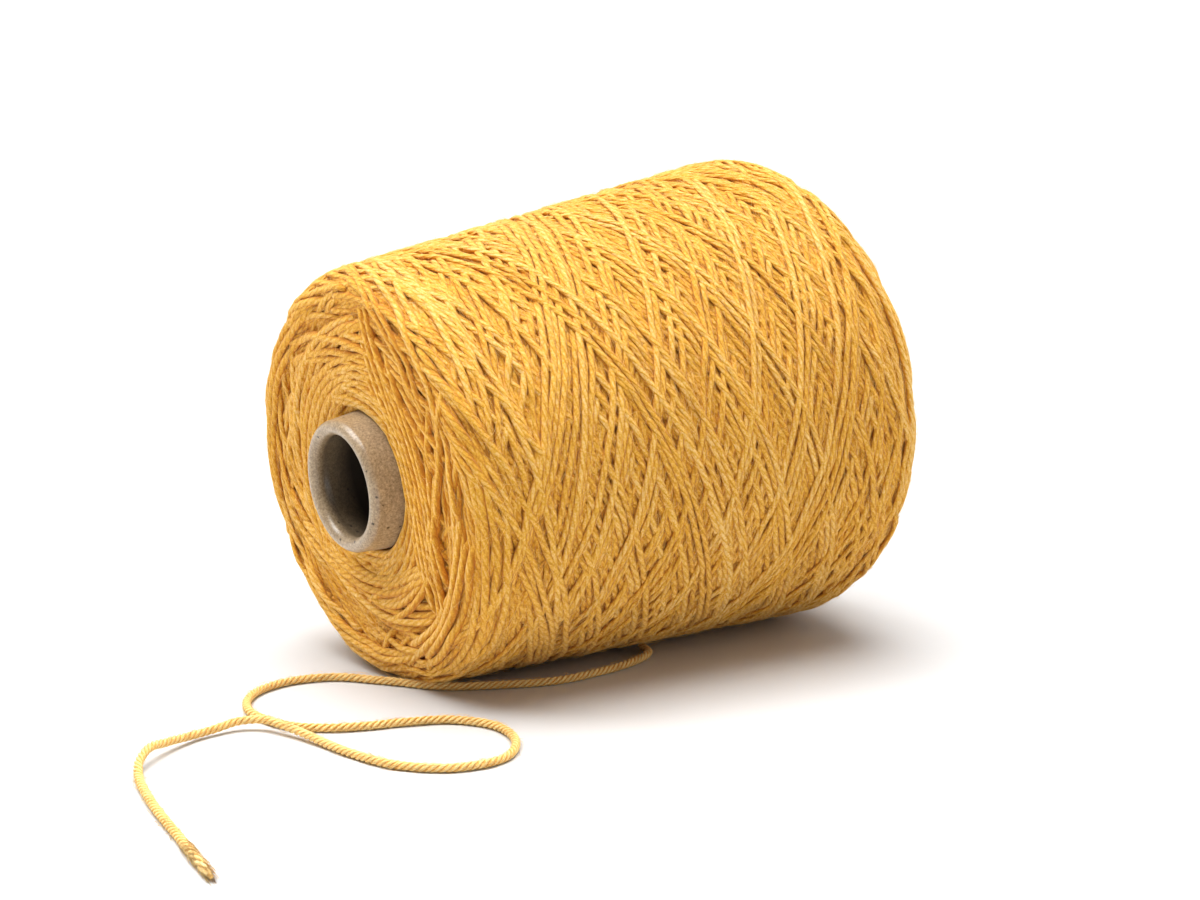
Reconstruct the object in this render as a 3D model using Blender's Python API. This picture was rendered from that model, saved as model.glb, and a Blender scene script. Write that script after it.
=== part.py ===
"""Cone of yarn, lying on its flank, with its loose end trailing on the table. Blender 4.5, metres, +Z up.

The part has three solids:
    core        the tapered paper tube, with its mouth rolled inwards
    wound_yarn  the cross-wound package on the core, one solid of its wound form and main bands
    yarn_tail   the loose end of the yarn

The cone's axis lies in the XZ plane, with its small end towards -X. A section of the core or of the
package is a list of (along, radius): the distance down the axis from the tip of the nose, and the
distance from the axis. An angle turns round the axis from the top: half a turn is down at the table.
"""

import math

import bpy
from mathutils import Vector

# Paper core: a standard tapered tube
CORE_LENGTH = 0.170
CORE_HALF_ANGLE = math.radians(5.95)
NOSE_RADIUS = 0.018
CORE_WALL = 0.0028
MOUTH_RADIUS = 0.0141
LIP_DEPTH = 0.0023
ROLL_DEPTH = 0.0045
LIP_STEPS = 10
ROLL_STEPS = 5
CORE_SIDES = 64

# Yarn package: a straight flank between two soft shoulders
FLANK_LOW = (0.030, 0.0585)
FLANK_HIGH = (0.140, 0.0692)
SMALL_FACE = 0.0072
SMALL_FACE_AT_CORE = 0.0100
SMALL_SHOULDER = (0.012, 0.007)
BIG_FACE = 0.1534
BIG_FACE_AT_CORE = 0.1508
BIG_SHOULDER = (0.014, 0.014)
CORE_GAP = 0.0003
PACKAGE_SIDES = 88
FACE_STEPS = 9
SHOULDER_STEPS = 6
FLANK_STEPS = 25

# Crossing bands of yarn, raised on the package
BANDS_ROUND = 5
BAND_PITCH = 0.023
BAND_DEPTH = 0.0010
BAND_SWAY = 0.5
SWAY_LENGTH = 0.055
BAND_SHIFT = 1.1
RELIEF_STARTS_OFF_CORE = 0.002
RELIEF_FULL_OFF_CORE = 0.010

# Where the package is pressed flat by its own weight
FLAT_SINK = 0.0003
SMOOTH_NEAR_TABLE = math.radians(9)
ROUGH_AWAY_FROM_TABLE = math.radians(22)

# Loose end of the yarn: the height of its middle where it lies on the table, and its route
YARN_DIAMETER = 0.0023
TAIL_LYING = 0.0012
TAIL_STEPS = 77
TAIL_ROUTE = (
    (0.0016, -0.0197, TAIL_LYING),
    (-0.0004, -0.0257, TAIL_LYING),
    (-0.0100, -0.0311, TAIL_LYING),
    (-0.0235, -0.0336, TAIL_LYING),
    (-0.0380, -0.0335, TAIL_LYING),
    (-0.0526, -0.0277, TAIL_LYING),
    (-0.0662, -0.0190, TAIL_LYING),
    (-0.0757, -0.0058, TAIL_LYING),
    (-0.0862, 0.0063, TAIL_LYING),
    (-0.0967, 0.0093, TAIL_LYING),
    (-0.1072, 0.0067, TAIL_LYING),
    (-0.1148, -0.0005, TAIL_LYING),
    (-0.1182, -0.0090, TAIL_LYING),
    (-0.1180, -0.0175, TAIL_LYING),
    (-0.1155, -0.0256, TAIL_LYING),
    (-0.1095, -0.0322, TAIL_LYING),
    (-0.1015, -0.0366, TAIL_LYING),
    (-0.0912, -0.0400, TAIL_LYING),
    (-0.0800, -0.0455, TAIL_LYING),
    (-0.0737, -0.0560, TAIL_LYING),
    (-0.0765, -0.0700, TAIL_LYING),
    (-0.0862, -0.0788, TAIL_LYING),
    (-0.0985, -0.0780, TAIL_LYING),
    (-0.1090, -0.0685, TAIL_LYING),
    (-0.1140, -0.0530, TAIL_LYING),
    (-0.1157, -0.0415, 0.0015),
    (-0.1170, -0.0345, 0.0020),
    (-0.1188, -0.0282, 0.0026),
    (-0.1211, -0.0222, 0.0030),
    (-0.1260, -0.0184, 0.0026),
    (-0.1329, -0.0182, 0.0018),
    (-0.1400, -0.0196, 0.0018),
    (-0.1480, -0.0232, 0.0027),
    (-0.1555, -0.0282, 0.0037),
    (-0.1599, -0.0327, 0.0024),
    (-0.1626, -0.0385, TAIL_LYING),
    (-0.1674, -0.0552, TAIL_LYING),
    (-0.1724, -0.0813, TAIL_LYING),
    (-0.1770, -0.1062, TAIL_LYING),
)

# Finishes, as linear colours
YARN_COLOUR = (0.70, 0.38, 0.060)
PAPER_COLOUR = (0.37, 0.28, 0.19)


def core_radius(along):
    """Outer radius of the core."""
    return NOSE_RADIUS + along * math.tan(CORE_HALF_ANGLE)


def flank_radius(along):
    """Radius of the package's straight flank."""
    (low, low_radius), (high, high_radius) = FLANK_LOW, FLANK_HIGH
    return low_radius + (high_radius - low_radius) * (along - low) / (high - low)


FLANK_ANGLE = math.atan(
    (FLANK_HIGH[1] - FLANK_LOW[1]) / (FLANK_HIGH[0] - FLANK_LOW[0])
)
# The flank's lowest line lies along the table, so the axis rises by the flank's own angle
NOSE_HEIGHT = flank_radius(0) * math.cos(FLANK_ANGLE) - FLAT_SINK
# The origin is under the middle of the core, from its lip to the far corner of its base
NOSE_BACK = -0.5 * (
    CORE_LENGTH * math.cos(FLANK_ANGLE)
    + core_radius(CORE_LENGTH) * math.sin(FLANK_ANGLE)
    - NOSE_RADIUS * math.sin(FLANK_ANGLE)
)


def smooth_step(low, high, value):
    """0 below low, 1 above high, and a soft ramp between them."""
    share = min(1, max(0, (value - low) / (high - low)))
    return share * share * (3 - 2 * share)


def blend(start, end, share):
    """The point at that share of the way from start to end."""
    return tuple(a + (b - a) * share for a, b in zip(start, end))


def core_section():
    """The core's closed section: up the bore, round the roll, over the lip and down the outer wall."""
    lip_middle = (core_radius(LIP_DEPTH) + MOUTH_RADIUS) / 2
    lip_half = (core_radius(LIP_DEPTH) - MOUTH_RADIUS) / 2
    roll_end = LIP_DEPTH + ROLL_DEPTH
    bore = core_radius(roll_end) - CORE_WALL
    section = [(CORE_LENGTH, core_radius(CORE_LENGTH) - CORE_WALL)]
    for step in range(ROLL_STEPS, 0, -1):
        share = step / ROLL_STEPS
        radius = MOUTH_RADIUS + (bore - MOUTH_RADIUS) * smooth_step(0, 1, share)
        section.append((LIP_DEPTH + ROLL_DEPTH * share, radius))
    for step in range(LIP_STEPS + 1):
        turn = math.pi * step / LIP_STEPS
        along = LIP_DEPTH * (1 - math.sin(turn))
        section.append((along, lip_middle - lip_half * math.cos(turn)))
    section.append((CORE_LENGTH, core_radius(CORE_LENGTH)))
    return section


def shoulder(face, reach, inwards):
    """Quarter ellipse from an end face out to the flank, as (along, radius) from face to flank."""
    along_reach, radius_reach = reach
    top = flank_radius(face + inwards * along_reach)
    points = []
    for step in range(SHOULDER_STEPS + 1):
        turn = math.pi / 2 * step / SHOULDER_STEPS
        along = face + inwards * along_reach * (1 - math.cos(turn))
        points.append((along, top - radius_reach * (1 - math.sin(turn))))
    return points


def end_face(at_core, rim):
    """From the core out to the rim's first point, dished down to the core."""
    start = (at_core, core_radius(at_core) + CORE_GAP)
    points = []
    for step in range(FACE_STEPS):
        share = step / FACE_STEPS
        along = at_core + (rim[0] - at_core) * math.sin(share * math.pi / 2)
        points.append((along, blend(start, rim, share)[1]))
    return points


def package_section():
    """The package's closed section: small face, small shoulder, flank, big shoulder and big face."""
    small = shoulder(SMALL_FACE, SMALL_SHOULDER, 1)
    big = shoulder(BIG_FACE, BIG_SHOULDER, -1)
    flank = [
        blend(small[-1], big[-1], step / FLANK_STEPS) for step in range(1, FLANK_STEPS)
    ]
    return [
        *end_face(SMALL_FACE_AT_CORE, small[0]),
        *small,
        *flank,
        *reversed(big),
        *reversed(end_face(BIG_FACE_AT_CORE, big[0])),
    ]


def band_relief(angle, run):
    """How far the surface lies under the package's envelope, between bands that cross both ways."""
    sway = BAND_SWAY * math.sin(2 * angle + math.tau * run / SWAY_LENGTH)
    climb = math.tau * run / BAND_PITCH
    outward = math.cos(BANDS_ROUND * angle - climb + sway)
    back = math.cos(BANDS_ROUND * angle + climb - sway + BAND_SHIFT)
    return BAND_DEPTH * (1 - max(outward, back)) / 2


def package_point(along, radius, angle, run):
    """A point of the package, with its bands, smoothed and pressed flat where it meets the table."""
    from_table = abs(math.remainder(angle - math.pi, math.tau))
    strength = smooth_step(SMOOTH_NEAR_TABLE, ROUGH_AWAY_FROM_TABLE, from_table)
    strength *= smooth_step(
        RELIEF_STARTS_OFF_CORE, RELIEF_FULL_OFF_CORE, radius - core_radius(along)
    )
    radius -= strength * band_relief(angle, run)
    up = radius * math.cos(angle)
    height = (
        NOSE_HEIGHT + along * math.sin(FLANK_ANGLE) + up * math.cos(FLANK_ANGLE)
    )
    up += max(0, -height) / math.cos(FLANK_ANGLE)
    return Vector((along, radius * math.sin(angle), up))


def core_point(along, radius, angle, _run):
    """A point of the core, which is plainly round."""
    return Vector((along, radius * math.sin(angle), radius * math.cos(angle)))


def turned_mesh(name, section, sides, place):
    """A closed mesh: the section carried round the axis, each point put in place by a function."""
    runs = [0.0]
    for start, end in zip(section, section[1:]):
        runs.append(runs[-1] + math.dist(start, end))
    points = [
        place(along, radius, math.tau * side / sides, run)
        for side in range(sides)
        for (along, radius), run in zip(section, runs)
    ]
    count = len(section)
    faces = []
    for side in range(sides):
        here, there = side * count, (side + 1) % sides * count
        for row in range(count):
            after = (row + 1) % count
            faces.append((here + row, here + after, there + after, there + row))
    mesh = bpy.data.meshes.new(name)
    mesh.from_pydata(points, [], faces)
    mesh.validate()
    mesh.shade_smooth()
    mesh.set_sharp_from_angle(angle=math.radians(40))
    return mesh


def smooth_route(route, steps):
    """Evenly spaced points along the smooth curve that passes through the route's own points."""
    points = [Vector(point) for point in route]
    lengths = [(b - a).length for a, b in zip(points, points[1:])]
    tangents = [(points[1] - points[0]) / lengths[0]]
    for index in range(1, len(points) - 1):
        before, after = lengths[index - 1], lengths[index]
        slope_in = (points[index] - points[index - 1]) / before
        slope_out = (points[index + 1] - points[index]) / after
        tangents.append((slope_in * after + slope_out * before) / (before + after))
    tangents.append((points[-1] - points[-2]) / lengths[-1])
    dense = [points[0]]
    for index, length in enumerate(lengths):
        start, end = points[index], points[index + 1]
        for fine in range(1, 17):
            s = fine / 16
            dense.append(
                start * (1 + 2 * s) * (1 - s) ** 2
                + end * s * s * (3 - 2 * s)
                + tangents[index] * length * s * (1 - s) ** 2
                - tangents[index + 1] * length * s * s * (1 - s)
            )
    runs = [0.0]
    for start, end in zip(dense, dense[1:]):
        runs.append(runs[-1] + (end - start).length)
    even, index = [], 0
    for step in range(steps + 1):
        wanted = runs[-1] * step / steps
        while index < len(runs) - 2 and runs[index + 1] < wanted:
            index += 1
        share = (wanted - runs[index]) / (runs[index + 1] - runs[index])
        even.append(dense[index].lerp(dense[index + 1], share))
    return even


def material(name, colour, roughness):
    """A plain, non-metallic finish."""
    made = bpy.data.materials.new(name)
    made.use_nodes = True
    shader = made.node_tree.nodes["Principled BSDF"]
    shader.inputs["Base Color"].default_value = (*colour, 1)
    shader.inputs["Roughness"].default_value = roughness
    shader.inputs["Metallic"].default_value = 0
    return made


def add_object(name, data, finish, parent=None):
    """Puts a mesh or a curve in the scene, in its finish."""
    made = bpy.data.objects.new(name, data)
    data.materials.append(finish)
    bpy.context.scene.collection.objects.link(made)
    made.parent = parent
    return made


def add_axis():
    """An empty at the tip of the nose, its own X down the cone's axis, which carries core and yarn."""
    axis = bpy.data.objects.new("cone_axis", None)
    bpy.context.scene.collection.objects.link(axis)
    axis.location = (NOSE_BACK, 0, NOSE_HEIGHT)
    axis.rotation_euler = (0, -FLANK_ANGLE, 0)
    return axis


def add_tail(finish):
    """The loose end, a round tube along its smooth route."""
    curve = bpy.data.curves.new("yarn_tail", "CURVE")
    curve.dimensions = "3D"
    curve.bevel_depth = YARN_DIAMETER / 2
    curve.bevel_resolution = 2
    curve.use_fill_caps = True
    points = smooth_route(TAIL_ROUTE, TAIL_STEPS)
    spline = curve.splines.new("POLY")
    spline.points.add(len(points) - 1)
    for target, point in zip(spline.points, points):
        target.co = (point.x, point.y, max(point.z, TAIL_LYING), 1)
    return add_object("yarn_tail", curve, finish)


def main():
    for old in list(bpy.data.objects):
        bpy.data.objects.remove(old, do_unlink=True)
    yarn = material("yarn", YARN_COLOUR, 0.95)
    tail_yarn = material("tail_yarn", YARN_COLOUR, 0.95)
    paper = material("paper", PAPER_COLOUR, 0.55)
    axis = add_axis()
    core = turned_mesh("core", core_section(), CORE_SIDES, core_point)
    add_object("core", core, paper, axis)
    package = turned_mesh(
        "wound_yarn", package_section(), PACKAGE_SIDES, package_point
    )
    add_object("wound_yarn", package, yarn, axis)
    add_tail(tail_yarn)


main()
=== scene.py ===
"""Looks of a cone of wool yarn that lies on its flank, its loose end trailing on the table.

The package is wound as a winder does it: strand after strand is laid over the ones before it on a height
field of the package's surface, so that each one passes over what lies there and under what comes later.
All lengths are in metres. Angles round the cone's axis start at its top: half a turn is at the table.
"""

import logging
import math
from dataclasses import dataclass, field
from enum import Enum

import bpy
import numpy as np
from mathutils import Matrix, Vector


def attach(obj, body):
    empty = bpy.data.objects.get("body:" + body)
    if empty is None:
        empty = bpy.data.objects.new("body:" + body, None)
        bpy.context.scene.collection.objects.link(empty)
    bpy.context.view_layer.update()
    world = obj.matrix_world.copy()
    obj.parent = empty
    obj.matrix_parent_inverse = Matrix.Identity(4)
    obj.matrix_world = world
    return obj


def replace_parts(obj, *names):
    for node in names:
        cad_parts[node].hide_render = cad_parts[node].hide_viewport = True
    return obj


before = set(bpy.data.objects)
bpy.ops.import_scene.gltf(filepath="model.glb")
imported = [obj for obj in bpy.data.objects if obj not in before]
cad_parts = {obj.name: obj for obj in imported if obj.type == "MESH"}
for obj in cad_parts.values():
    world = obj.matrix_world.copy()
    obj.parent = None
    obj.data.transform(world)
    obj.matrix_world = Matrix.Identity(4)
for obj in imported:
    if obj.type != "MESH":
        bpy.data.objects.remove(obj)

LOG = logging.getLogger("yarn_cone")
TURN = 2 * math.pi
MEAN_RADIUS = 0.064            # the package's radius, to turn distances round it into angles
FACE_EDGE = (0.020, 0.045)     # how far along the section an end face ends and the flank starts
BAKE_MAP = "OFBake"
TWIST_MAP = "twist"


# ---------------------------------------------------------------------------------------------------------
# Shader maths


class Signal:
    """One output socket of a node tree, with arithmetic that adds Math nodes."""

    def __init__(self, nodes: "Nodes", socket: bpy.types.NodeSocket) -> None:
        """Wraps a socket of a node tree."""
        self.nodes = nodes
        self.socket = socket

    def _math(self, operation: str, *values: "Signal | float") -> "Signal":
        """A Math node on these values."""
        return self.nodes.node("ShaderNodeMath", {"operation": operation}, dict(enumerate(values)))

    def __add__(self, other: "Signal | float") -> "Signal":
        """self + other."""
        return self._math("ADD", self, other)

    __radd__ = __add__

    def __sub__(self, other: "Signal | float") -> "Signal":
        """self - other."""
        return self._math("SUBTRACT", self, other)

    def __rsub__(self, other: float) -> "Signal":
        """other - self."""
        return self._math("SUBTRACT", other, self)

    def __mul__(self, other: "Signal | float") -> "Signal":
        """self times other."""
        return self._math("MULTIPLY", self, other)

    __rmul__ = __mul__

    def __pow__(self, other: "Signal | float") -> "Signal":
        """self to the power of other."""
        return self._math("POWER", self, other)

    def __abs__(self) -> "Signal":
        """self without its sign."""
        return self._math("ABSOLUTE", self)

    def wrapped(self) -> "Signal":
        """The part after the decimal point."""
        return self._math("FRACT", self)

    def ramp(self, low: float, high: float) -> "Signal":
        """0 below low, 1 above high, and a soft step between them.

        Args:
            low: the value that gives 0.
            high: the value that gives 1.

        Returns:
            The stepped signal.
        """
        settings = {"interpolation_type": "SMOOTHSTEP"}
        values = {"Value": self, "From Min": low, "From Max": high}
        return self.nodes.node("ShaderNodeMapRange", settings, values)


class Nodes:
    """Short ways to add nodes to a node tree."""

    def __init__(self, tree: bpy.types.NodeTree) -> None:
        """Wraps a node tree."""
        self.tree = tree

    def node(self, kind: str, settings: dict | None = None, values: dict | None = None,
             output: int | str = 0) -> Signal:
        """Adds a node.

        Args:
            kind: the node's type.
            settings: its own settings, set before its sockets; a ramp's stops go under "stops".
            values: numbers, colours or signals, by the name or the number of the socket.
            output: the name or the number of the output that is wanted.

        Returns:
            That output.
        """
        made = self.tree.nodes.new(kind)
        for name, value in (settings or {}).items():
            if name == "stops":
                self._set_stops(made.color_ramp, value)
            else:
                setattr(made, name, value)
        for name, value in (values or {}).items():
            self.feed(made.inputs[name], value)
        return Signal(self, made.outputs[output])

    @staticmethod
    def _set_stops(ramp: bpy.types.ColorRamp, stops: list[tuple[float, tuple]]) -> None:
        """Gives a colour ramp its stops.

        Args:
            ramp: the ramp.
            stops: a place and a colour for each of them.
        """
        while len(ramp.elements) < len(stops):
            ramp.elements.new(1)
        for element, (place, colour) in zip(ramp.elements, stops):
            element.position = place
            element.color = (*colour, 1)

    def feed(self, socket: bpy.types.NodeSocket, value: "Signal | float | tuple") -> None:
        """Links a signal to a socket, or sets the socket.

        Args:
            socket: the socket.
            value: the signal, or else the number or the colour that the socket is set to.
        """
        if isinstance(value, Signal):
            self.tree.links.new(value.socket, socket)
        elif isinstance(value, tuple) and socket.type == "RGBA":
            socket.default_value = (*value, 1)
        else:
            socket.default_value = value

    def noise(self, place: Signal, scale: float, detail: float = 2, rough: float = 0.5) -> Signal:
        """Noise from 0 to 1 with that many bumps to the metre or to the unit of place."""
        values = {"Vector": place, "Scale": scale, "Detail": detail, "Roughness": rough}
        return self.node("ShaderNodeTexNoise", None, values)

    def colour(self, share: Signal, start: "Signal | tuple", end: "Signal | tuple") -> Signal:
        """Mixes two colours.

        Args:
            share: how much of the second colour there is.
            start: the first colour.
            end: the second colour.

        Returns:
            The mixed colour.
        """
        return self.node("ShaderNodeMix", {"data_type": "RGBA"}, {0: share, 6: start, 7: end}, 2)

    def vector(self, *parts: "Signal | float") -> Signal:
        """A vector of three signals or numbers."""
        return self.node("ShaderNodeCombineXYZ", None, dict(enumerate(parts)))

    def parts(self, vector: Signal) -> tuple[Signal, Signal, Signal]:
        """The three parts of a vector."""
        outputs = self.node("ShaderNodeSeparateXYZ", None, {0: vector}).socket.node.outputs
        return tuple(Signal(self, output) for output in outputs)


class Shader(Nodes):
    """A new material with one Principled shader."""

    def __init__(self, name: str) -> None:
        """Makes the material and finds its shader.

        Args:
            name: the material's name.
        """
        self.material = bpy.data.materials.new(name)
        self.material.use_nodes = True
        super().__init__(self.material.node_tree)
        self.surface = self.tree.nodes["Principled BSDF"]

    def set(self, **values: "Signal | float | tuple") -> None:
        """Sets or links the Principled shader's sockets, with _ for the spaces in their names."""
        for name, value in values.items():
            self.feed(self.surface.inputs[name.replace("_", " ")], value)

    def place(self) -> Signal:
        """The object's own coordinates."""
        return self.node("ShaderNodeTexCoord", output="Object")

    def bump(self, height: Signal, distance: float, under: Signal | None = None) -> Signal:
        """A bumped normal.

        Args:
            height: the relief, from 0 to 1.
            distance: how high 1 stands, in metres.
            under: a normal to start from.

        Returns:
            The normal.
        """
        values = {"Height": height, "Distance": distance}
        if under is not None:
            values["Normal"] = under
        return self.node("ShaderNodeBump", None, values)


# ---------------------------------------------------------------------------------------------------------
# Finishes


@dataclass(frozen=True)
class WoolFinish:
    """Matt plied wool. Its plies and fibres follow the twist map: turns along the strand, and round it.

    The colour runs from deep over middle to light as the sum of the shares grows: of the fibres, the grain,
    the plies, the strand's own tone and large blotches, less the furrows beside the strand. Three of these
    are painted shade: the plies' share darkens the grooves between plies, the furrow shade darkens the
    strand's sides and underside, and on wound strands the tone darkens where they lie deep. wobbles and
    blotches are how many there are to the metre, and the fibres are counted round a strand and to one turn
    of its twist.
    """

    name: str
    light: tuple = (1.0, 0.77, 0.39)
    middle: tuple = (0.81, 0.42, 0.038)
    deep: tuple = (0.58, 0.215, 0.011)
    colour_places: tuple = (0.0, 0.35, 0.85)
    plies: int = 4
    ply_flatness: float = 2.6
    ply_relief: float = 0.00014
    # painted shade: how much darker the colour is in the grooves between plies
    ply_shade_share: float = 0.26
    wobble: float = 0.10
    wobbles: float = 420
    fibres_round: float = 20
    fibres_along: float = 6
    fibre_slant: float = 0.85
    fibre_relief: float = 0.00007
    fibre_share: float = 0.6
    grain_size: float = 0.0006
    grain_edge: tuple = (0.36, 0.62)
    grain_share: float = 0.19
    grain_relief: float = 0.5
    tone_share: float = 0.15
    blotches: float = 55
    blotch_share: float = 0.2
    # painted shade down the strand's sides and underside: where it starts and how strong it is
    furrow_shade_edge: tuple = (0.08, 0.25)
    furrow_shade_share: float = 0.34
    darkening: float = 0.43
    roughness: float = 0.9
    sheen: float = 0.22
    sheen_roughness: float = 0.5
    sheen_tint: tuple = (1.0, 0.84, 0.52)
    gloss: float = 0.42

    def make(self) -> bpy.types.Material:
        """Builds the material.

        Returns:
            The material.
        """
        shader = Shader(self.name)
        place = shader.place()
        twist = shader.node("ShaderNodeUVMap", {"uv_map": TWIST_MAP})
        along, across_it, _ = shader.parts(twist)
        round_it = across_it.wrapped()
        stray = (shader.noise(place, self.wobbles, detail=1) - 0.5) * self.wobble
        across = ((round_it - along + stray) * self.plies).wrapped() * 2 - 1
        ply = 1 - abs(across) ** self.ply_flatness
        fibre_place = shader.vector(
            along * self.fibres_along, (round_it - along * self.fibre_slant) * self.fibres_round, 0.0)
        fibres = shader.noise(fibre_place, 1.0, rough=0.6)
        tone = shader.node("ShaderNodeAttribute", {"attribute_name": "tone"}, output="Fac")
        blotch = shader.noise(place, self.blotches)
        # painted shade: the colour darkens away from the strand's top, towards its sides and underside
        furrow_shade = abs(round_it - 0.5).ramp(*self.furrow_shade_edge)
        grain = shader.noise(place, 1 / self.grain_size, rough=0.7).ramp(*self.grain_edge)
        # the plies' share is painted shade: lighter on each ply's crown, darker in the grooves between
        # plies
        share = fibres * self.fibre_share + grain * self.grain_share + ply * self.ply_shade_share
        share = share + tone * self.tone_share + blotch * self.blotch_share
        share = share - self.darkening - furrow_shade * self.furrow_shade_share
        stops = list(zip(self.colour_places, (self.deep, self.middle, self.light)))
        colour = shader.node("ShaderNodeValToRGB", {"stops": stops}, {0: share})
        fine = shader.bump(fibres + grain * self.grain_relief, self.fibre_relief)
        shader.set(Base_Color=colour, Roughness=self.roughness)
        shader.set(Normal=shader.bump(ply, self.ply_relief, fine))
        shader.set(Sheen_Weight=self.sheen, Sheen_Roughness=self.sheen_roughness)
        shader.set(Sheen_Tint=self.sheen_tint, Specular_IOR_Level=self.gloss)
        return shader.material


WOOL = WoolFinish("wool")
# painted shade: a darker copy of the wool for the body, which shows only deep in the gaps between strands
SHADED_WOOL = WoolFinish(
    "shaded_wool", light=(0.86, 0.48, 0.08), middle=(0.70, 0.34, 0.03), deep=(0.48, 0.18, 0.010))
# painted light: a paler copy of the wool for the loose end, which lies brightly lit on the pale table
LIT_LOOSE_WOOL = WoolFinish(
    "lit_loose_wool", light=(1.0, 0.83, 0.45), middle=(1.0, 0.72, 0.28), deep=(0.84, 0.42, 0.08),
    ply_relief=0.00004)
# painted sheen: a paler copy of the wool for the loose fibres, so that they show as a light halo over the
# strands
SHEEN_PAINTED_FIBRE = WoolFinish(
    "fibre", light=(1.0, 0.80, 0.38), middle=(1.0, 0.68, 0.22), deep=(0.8, 0.45, 0.09), ply_relief=0.0)


@dataclass(frozen=True)
class PaperFinish:
    """Pressed greige paper, speckled, burnished where the nose is rolled, and with painted shade deep in
    the bore.

    clouds, grains, specks and speck_sizes are how many there are to the metre.
    """

    name: str
    light: tuple = (0.55, 0.41, 0.25)
    dark: tuple = (0.225, 0.152, 0.085)
    # painted shade: the near-black colour deep in the bore
    bore_shade_colour: tuple = (0.030, 0.019, 0.011)
    speck: tuple = (0.045, 0.026, 0.014)
    clouds: float = 90
    cloud_share: float = 0.5
    cloud_relief: float = 0.00025
    grains: float = 1500
    grain_share: float = 1.6
    grain_relief: float = 0.00003
    grain_roughness: float = 0.1
    darkening: float = 0.6
    specks: float = 260
    speck_sizes: float = 200
    speck_unevenness: float = 0.35
    speck_edge: tuple = (0.30, 0.24)
    speck_strength: float = 0.85
    roughness: float = 0.58
    gloss: float = 0.45
    burnish: float = 0.3
    burnished_coat: float = 0.4
    coat_roughness: float = 0.22

    def make(self) -> bpy.types.Material:
        """Builds the material.

        Returns:
            The material.
        """
        shader = Shader(self.name)
        place = shader.place()
        cloudy = shader.noise(place, self.clouds, detail=4, rough=0.6)
        grain = shader.noise(place, self.grains, rough=0.8)
        specks = shader.node("ShaderNodeTexVoronoi", None, {"Vector": place, "Scale": self.specks})
        size = shader.noise(place, self.speck_sizes, detail=1)
        spot = (specks + size * self.speck_unevenness).ramp(*self.speck_edge)
        share = (grain * self.grain_share + cloudy * self.cloud_share - self.darkening).ramp(0.0, 1.0)
        base = shader.colour(share, self.dark, self.light)
        base = shader.colour(spot * self.speck_strength, base, self.speck)
        # painted shade: the bore's colour turns near-black where the core's attribute marks it as deep
        bore_shade = shader.node("ShaderNodeAttribute", {"attribute_name": "bore_shade"}, output="Fac")
        shader.set(Base_Color=shader.colour(bore_shade, base, self.bore_shade_colour))
        burnished = shader.node("ShaderNodeAttribute", {"attribute_name": "burnish"}, output="Fac")
        shader.set(Roughness=self.roughness - burnished * self.burnish + grain * self.grain_roughness)
        shader.set(Coat_Weight=burnished * self.burnished_coat, Coat_Roughness=self.coat_roughness)
        relief = shader.bump(cloudy, self.cloud_relief)
        shader.set(Specular_IOR_Level=self.gloss, Normal=shader.bump(grain, self.grain_relief, relief))
        return shader.material


@dataclass(frozen=True)
class TableFinish:
    """Plain pale floor."""

    name: str = "table"
    colour: tuple = (0.66, 0.66, 0.66)
    mottles: float = 30
    mottle: float = 0.97
    roughness: float = 0.6

    def make(self) -> bpy.types.Material:
        """Builds the material.

        Returns:
            The material.
        """
        shader = Shader(self.name)
        faint = shader.noise(shader.place(), self.mottles, detail=3)
        darker = tuple(part * self.mottle for part in self.colour)
        shader.set(Base_Color=shader.colour(faint, self.colour, darker), Roughness=self.roughness)
        return shader.material


# ---------------------------------------------------------------------------------------------------------
# Meshes


def smooth_step(low: float, high: float, value: np.ndarray | float) -> np.ndarray:
    """0 below low, 1 above high, and a soft ramp between them."""
    share = np.clip((value - low) / (high - low), 0, 1)
    return share * share * (3 - 2 * share)


def bell(step: float, reach: float) -> np.ndarray:
    """The weights of a blur, an odd number of them.

    Args:
        step: the distance between two values.
        reach: the blur's standard deviation, as a distance.

    Returns:
        The weights, which add up to 1.
    """
    count = max(1, int(3 * reach / step))
    weights = np.exp(-0.5 * (np.arange(-count, count + 1) * step / reach) ** 2)
    return weights / weights.sum()


def smoothed(values: np.ndarray, step: float, reach: float) -> np.ndarray:
    """Values along a line, blurred.

    Args:
        values: evenly spaced values.
        step: the distance between two of them.
        reach: the blur's standard deviation, as a distance.

    Returns:
        As many values.
    """
    weights = bell(step, reach)
    padded = np.pad(values, len(weights) // 2, mode="edge")
    return np.convolve(padded, weights, "valid")


def unit(vectors: np.ndarray) -> np.ndarray:
    """Vectors of length 1."""
    return vectors / np.linalg.norm(vectors, axis=-1, keepdims=True)


def run_along(points: np.ndarray) -> np.ndarray:
    """How far each of these points is from the first one, along the line through them."""
    return np.r_[0, np.cumsum(np.linalg.norm(np.diff(points, axis=0), axis=1))]


def soft_floor(height: np.ndarray, give: float = 0.0003) -> np.ndarray:
    """Heights over the table, pressed up softly so that none is below it."""
    return give * np.logaddexp(0, height / give)


def linked(name: str, data: bpy.types.ID) -> bpy.types.Object:
    """Puts a new object into the scene.

    Args:
        name: its name.
        data: what it shows: a mesh, a camera or a light.

    Returns:
        The object.
    """
    made = bpy.data.objects.new(name, data)
    bpy.context.scene.collection.objects.link(made)
    return made


def add_map(mesh: bpy.types.Mesh, name: str, places: np.ndarray) -> None:
    """Adds a map to a mesh, with a place for each corner of its faces."""
    layer = mesh.uv_layers.new(name=name, do_init=False)
    layer.data.foreach_set("uv", places.astype(np.float32).ravel())


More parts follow.
